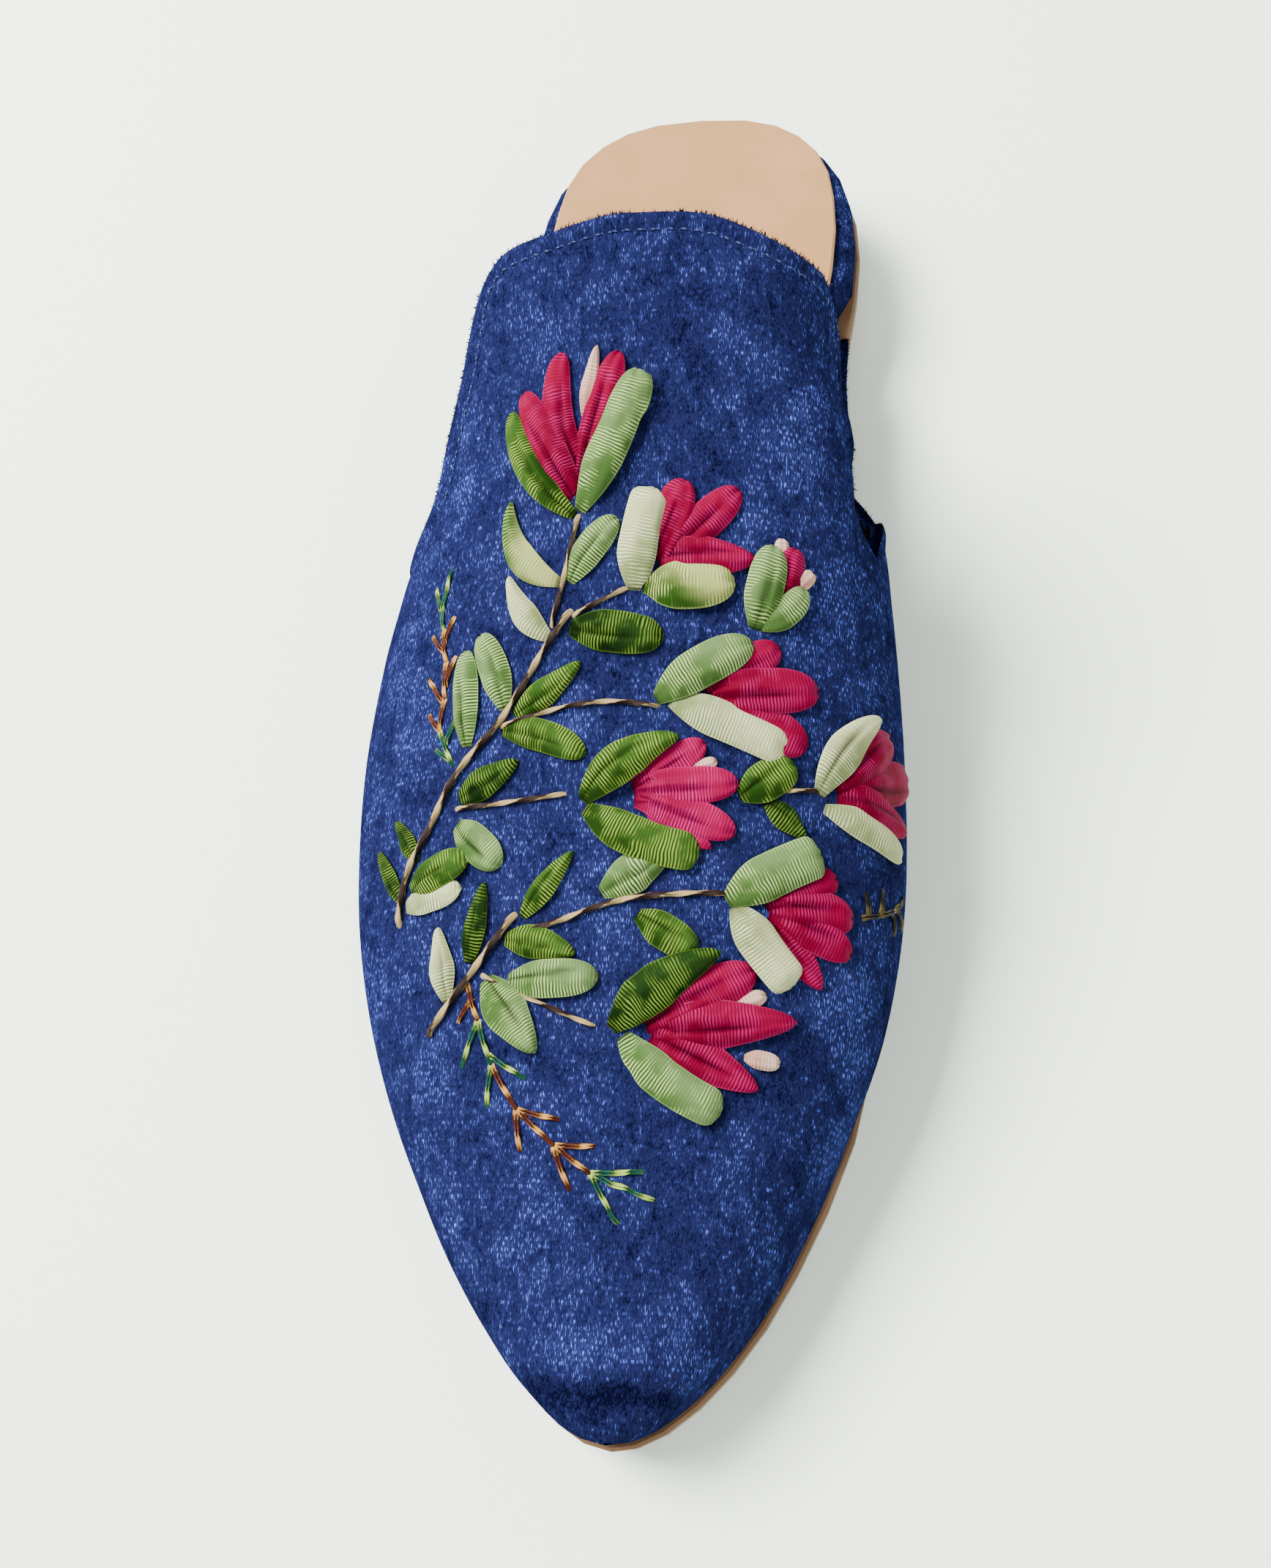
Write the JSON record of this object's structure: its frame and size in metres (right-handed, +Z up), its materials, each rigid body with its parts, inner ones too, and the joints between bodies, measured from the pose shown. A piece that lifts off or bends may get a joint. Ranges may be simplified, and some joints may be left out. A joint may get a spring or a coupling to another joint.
{
  "type": "mule",
  "caption": "Flat open-backed slipper of blue crushed velvet with a tall vamp, raised ribbon flowers, a nude leather insole and a low heel; right foot.",
  "frame": {"origin": "centre of the bounding box's bottom, on the floor that the shoe stands on", "axes": "+Y from toe to heel, +X towards the inner side of the foot, +Z up"},
  "size_m": [0.0947, 0.2596, 0.0757],
  "materials": {
    "velvet": "blue crushed velvet",
    "nude_leather": "smooth, matte",
    "tan_leather": "burnished sole edge",
    "heel_leather": "stacked, matte",
    "top_piece_rubber": "dull",
    "crimson_ribbon": "glossy woven ribbon, crimson",
    "green_ribbon": "glossy woven ribbon, shaded greens",
    "pale_ribbon": "glossy woven ribbon, pale green",
    "cream_ribbon": "glossy woven ribbon, cream"
  },
  "bodies": {
    "root": {"outsole": "tan_leather", "heel_block": "heel_leather", "heel_top_piece": "top_piece_rubber", "insole_board": "velvet", "insole_sock": "nude_leather", "upper": "velvet", "blossom_bud_petals": "crimson_ribbon", "blossom_bud_sepal_inner": "pale_ribbon", "blossom_bud_sepal_outer": "pale_ribbon", "blossom_inner_petals": "crimson_ribbon", "blossom_inner_sepal_back": "cream_ribbon", "blossom_inner_sepal_front": "cream_ribbon", "blossom_left_petals": "crimson_ribbon", "blossom_left_sepal_back": "green_ribbon", "blossom_left_sepal_front": "green_ribbon", "blossom_low_petals": "crimson_ribbon", "blossom_low_sepal_back": "green_ribbon", "blossom_low_sepal_front": "pale_ribbon", "blossom_middle_petals": "crimson_ribbon", "blossom_middle_sepal_inner": "green_ribbon", "blossom_middle_sepal_outer": "cream_ribbon", "blossom_right_petals": "crimson_ribbon", "blossom_right_sepal_back": "pale_ribbon", "blossom_right_sepal_front": "cream_ribbon", "blossom_tall_petals": "crimson_ribbon", "blossom_tall_sepal_inner": "pale_ribbon", "blossom_tall_sepal_outer": "green_ribbon", "blossom_upper_petals": "crimson_ribbon", "blossom_upper_sepal_inner": "cream_ribbon", "blossom_upper_sepal_outer": "cream_ribbon", "leaf_01": "cream_ribbon", "leaf_02": "pale_ribbon", "leaf_03": "cream_ribbon", "leaf_04": "green_ribbon", "leaf_05": "pale_ribbon", "leaf_06": "pale_ribbon", "leaf_07": "green_ribbon", "leaf_08": "green_ribbon", "leaf_09": "green_ribbon", "leaf_10": "pale_ribbon", "leaf_11": "green_ribbon", "leaf_12": "green_ribbon", "leaf_13": "green_ribbon", "leaf_14": "green_ribbon", "leaf_15": "cream_ribbon", "leaf_16": "green_ribbon", "leaf_17": "green_ribbon", "leaf_18": "pale_ribbon", "leaf_19": "green_ribbon", "leaf_20": "green_ribbon", "leaf_21": "cream_ribbon", "leaf_22": "green_ribbon", "leaf_23": "pale_ribbon", "leaf_24": "pale_ribbon"}
  },
  "joints": []
}
